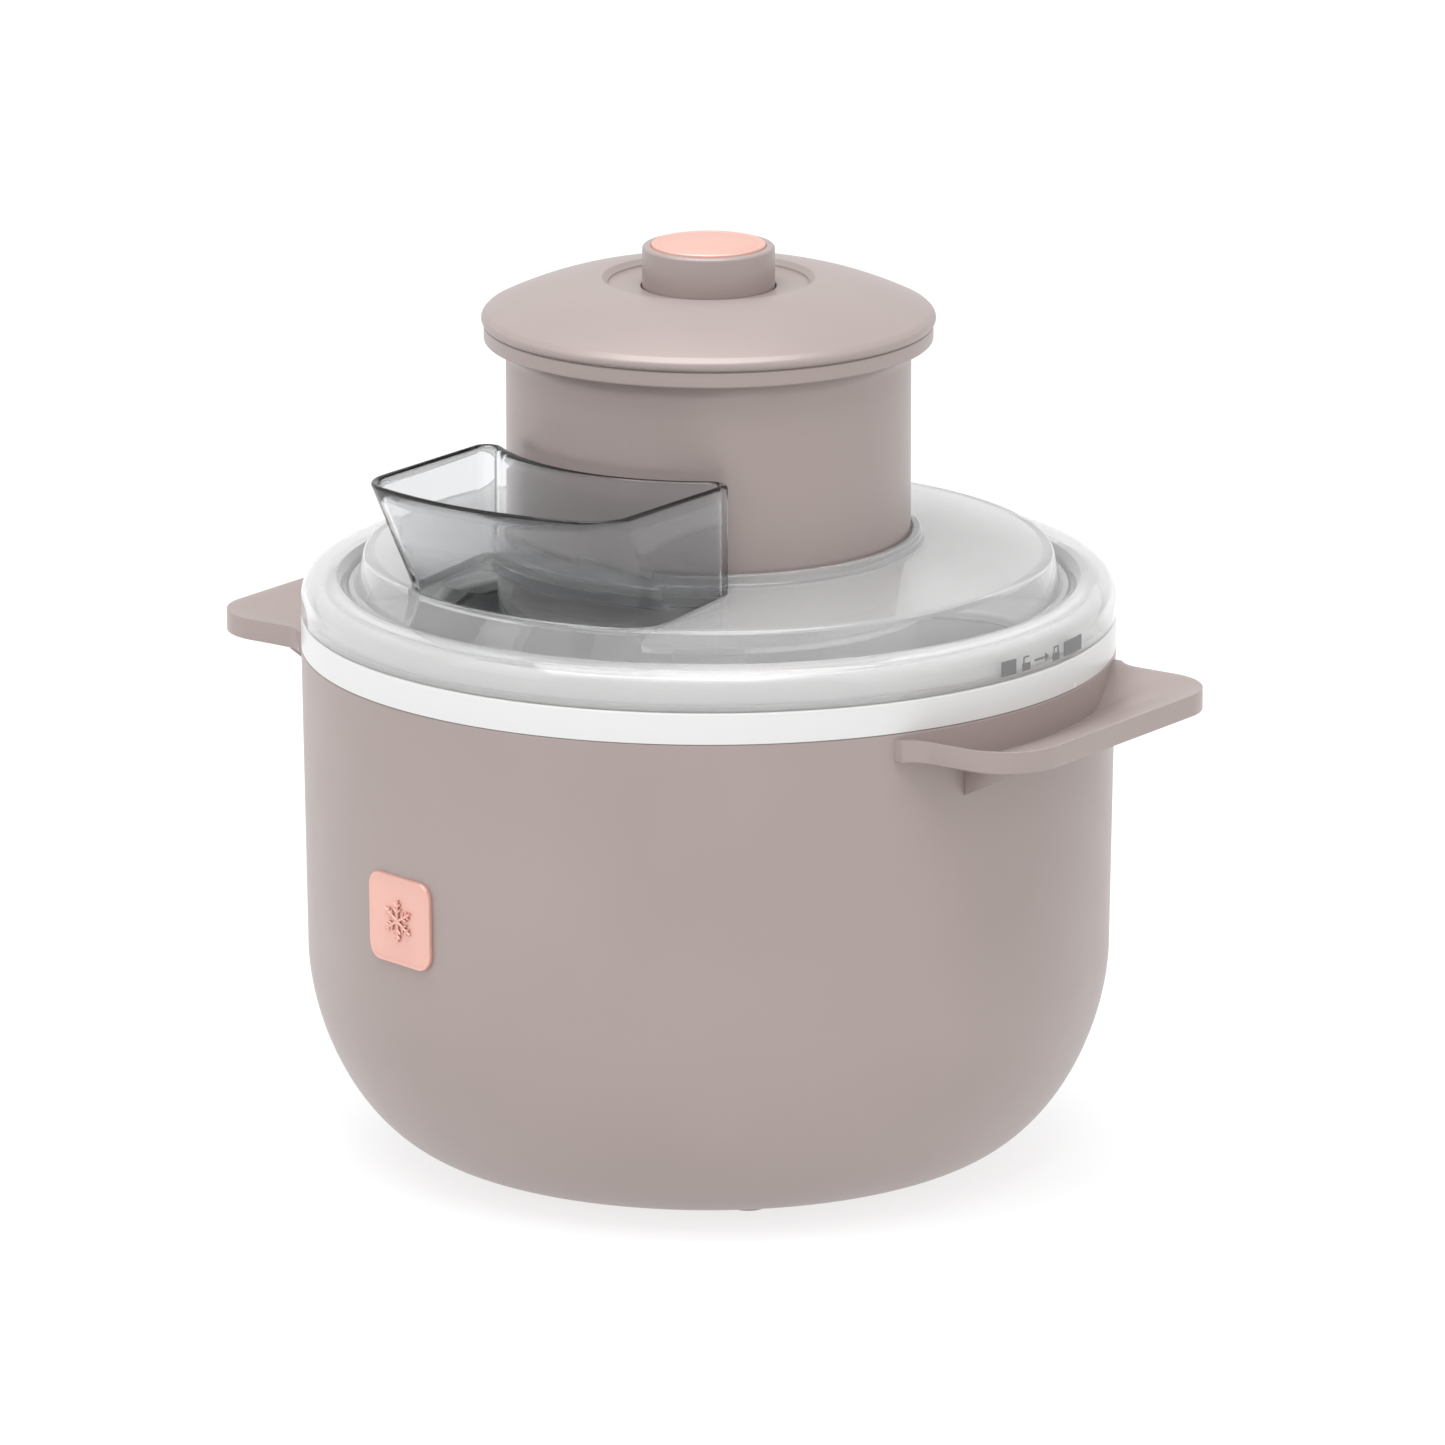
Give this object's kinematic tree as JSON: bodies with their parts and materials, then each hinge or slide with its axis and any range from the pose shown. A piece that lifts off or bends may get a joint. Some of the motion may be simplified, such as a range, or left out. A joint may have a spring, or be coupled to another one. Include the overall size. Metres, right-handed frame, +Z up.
{
  "type": "ice cream maker",
  "caption": "Round ice cream maker: pot-shaped housing with wing handles, lift-out freezer bowl, clear lid with filling chute, and lift-off motor unit that turns a paddle.",
  "frame": {"origin": "centre of the base on the surface the feet stand on", "axes": "+Z up along the bowl's and the motor's axis; +X through one wing handle; -Y towards the filling chute, +Y towards the cord inlet"},
  "size_m": [0.246, 0.2, 0.2275],
  "materials": {
    "taupe_plastic": "fine satin moulded plastic",
    "foot_pad": "soft matte pad in the body's colour",
    "rose_gold": "brushed metallic",
    "white_plastic": "semi-gloss",
    "jacket_plastic": "matte",
    "liner_aluminium": "spun, fine circular grain",
    "coolant": "gel",
    "seal_rubber": "matte",
    "silicone": "translucent white silicone",
    "clear_plastic": "clear, faintly grey",
    "paddle_plastic": "semi-gloss",
    "gear_plastic": "moulded acetal",
    "steel": "bright zinc",
    "brass": "machined",
    "magnet": "sintered, dark",
    "copper_coil": "enamelled copper winding",
    "black_plastic": "matte"
  },
  "bodies": {
    "housing": {"outer_housing": "taupe_plastic", "base_feet": "foot_pad", "badge_plaque": "rose_gold"},
    "bowl": {"bowl_rim": "white_plastic", "bowl_jacket": "jacket_plastic", "bowl_liner": "liner_aluminium", "coolant_gel": "coolant", "liner_seal": "seal_rubber", "filler_plug": "white_plastic"},
    "gasket": {"lid_gasket": "silicone"},
    "lid": {"lid_dome": "clear_plastic", "filling_chute": "clear_plastic"},
    "paddle": {"mixing_paddle": "paddle_plastic"},
    "motor_unit": {"motor_housing": "taupe_plastic", "motor_base": "taupe_plastic", "motor_cap": "taupe_plastic", "base_screws": "steel", "shaft_bush": "brass", "gear_plate": "steel", "plate_screws": "steel", "gear_axle": "steel", "motor_can": "steel", "stator_coil": "copper_coil", "motor_screws": "steel", "switch_bracket": "steel", "bracket_screws": "steel", "push_switch": "black_plastic", "cord_grommet": "black_plastic", "button_spring": "steel"},
    "drive_shaft": {"output_shaft": "steel", "output_gear": "gear_plastic"},
    "idler": {"intermediate_gear": "gear_plastic"},
    "rotor": {"motor_rotor": "magnet", "rotor_pinion": "brass"},
    "button": {"power_button": "taupe_plastic", "button_disc": "rose_gold", "switch_plunger": "white_plastic"}
  },
  "joints": [
    {"name": "bowl_lift", "type": "slide", "parent": "housing", "child": "bowl", "axis": [0, 0, 1], "range_m": [0, 0.13]},
    {"name": "lid_lift", "type": "slide", "parent": "bowl", "child": "gasket", "axis": [0, 0, 1], "range_m": [0, 0.12]},
    {"name": "lid_twist", "type": "hinge", "parent": "gasket", "child": "lid", "pos_m": [0, 0, 0.14], "axis": [0, 0, 1], "range_deg": [0, 12]},
    {"name": "paddle_spin", "type": "hinge", "parent": "lid", "child": "paddle", "pos_m": [0, 0, 0.138], "axis": [0, 0, 1], "continuous": true},
    {"name": "motor_lift", "type": "slide", "parent": "lid", "child": "motor_unit", "axis": [0, 0, 1], "range_m": [0, 0.06]},
    {"name": "shaft_spin", "type": "hinge", "parent": "motor_unit", "child": "drive_shaft", "pos_m": [0, 0, 0.145], "axis": [0, 0, 1], "continuous": true},
    {"name": "idler_spin", "type": "hinge", "parent": "motor_unit", "child": "idler", "pos_m": [0.0208, 0, 0.15], "axis": [0, 0, 1], "continuous": true},
    {"name": "rotor_spin", "type": "hinge", "parent": "motor_unit", "child": "rotor", "pos_m": [0.0112, 0.01663, 0.17], "axis": [0, 0, 1], "continuous": true},
    {"name": "button_press", "type": "slide", "parent": "motor_unit", "child": "button", "axis": [0, 0, -1], "range_m": [0, 0.003], "stiffness_N_per_m": 400, "springref_m": -0.003, "deforming": ["button_spring"]}
  ],
  "couplings": [
    {"joint": "shaft_spin", "follows": "paddle_spin", "ratio": 1},
    {"joint": "idler_spin", "follows": "paddle_spin", "ratio": -3.3333},
    {"joint": "rotor_spin", "follows": "paddle_spin", "ratio": 10}
  ]
}
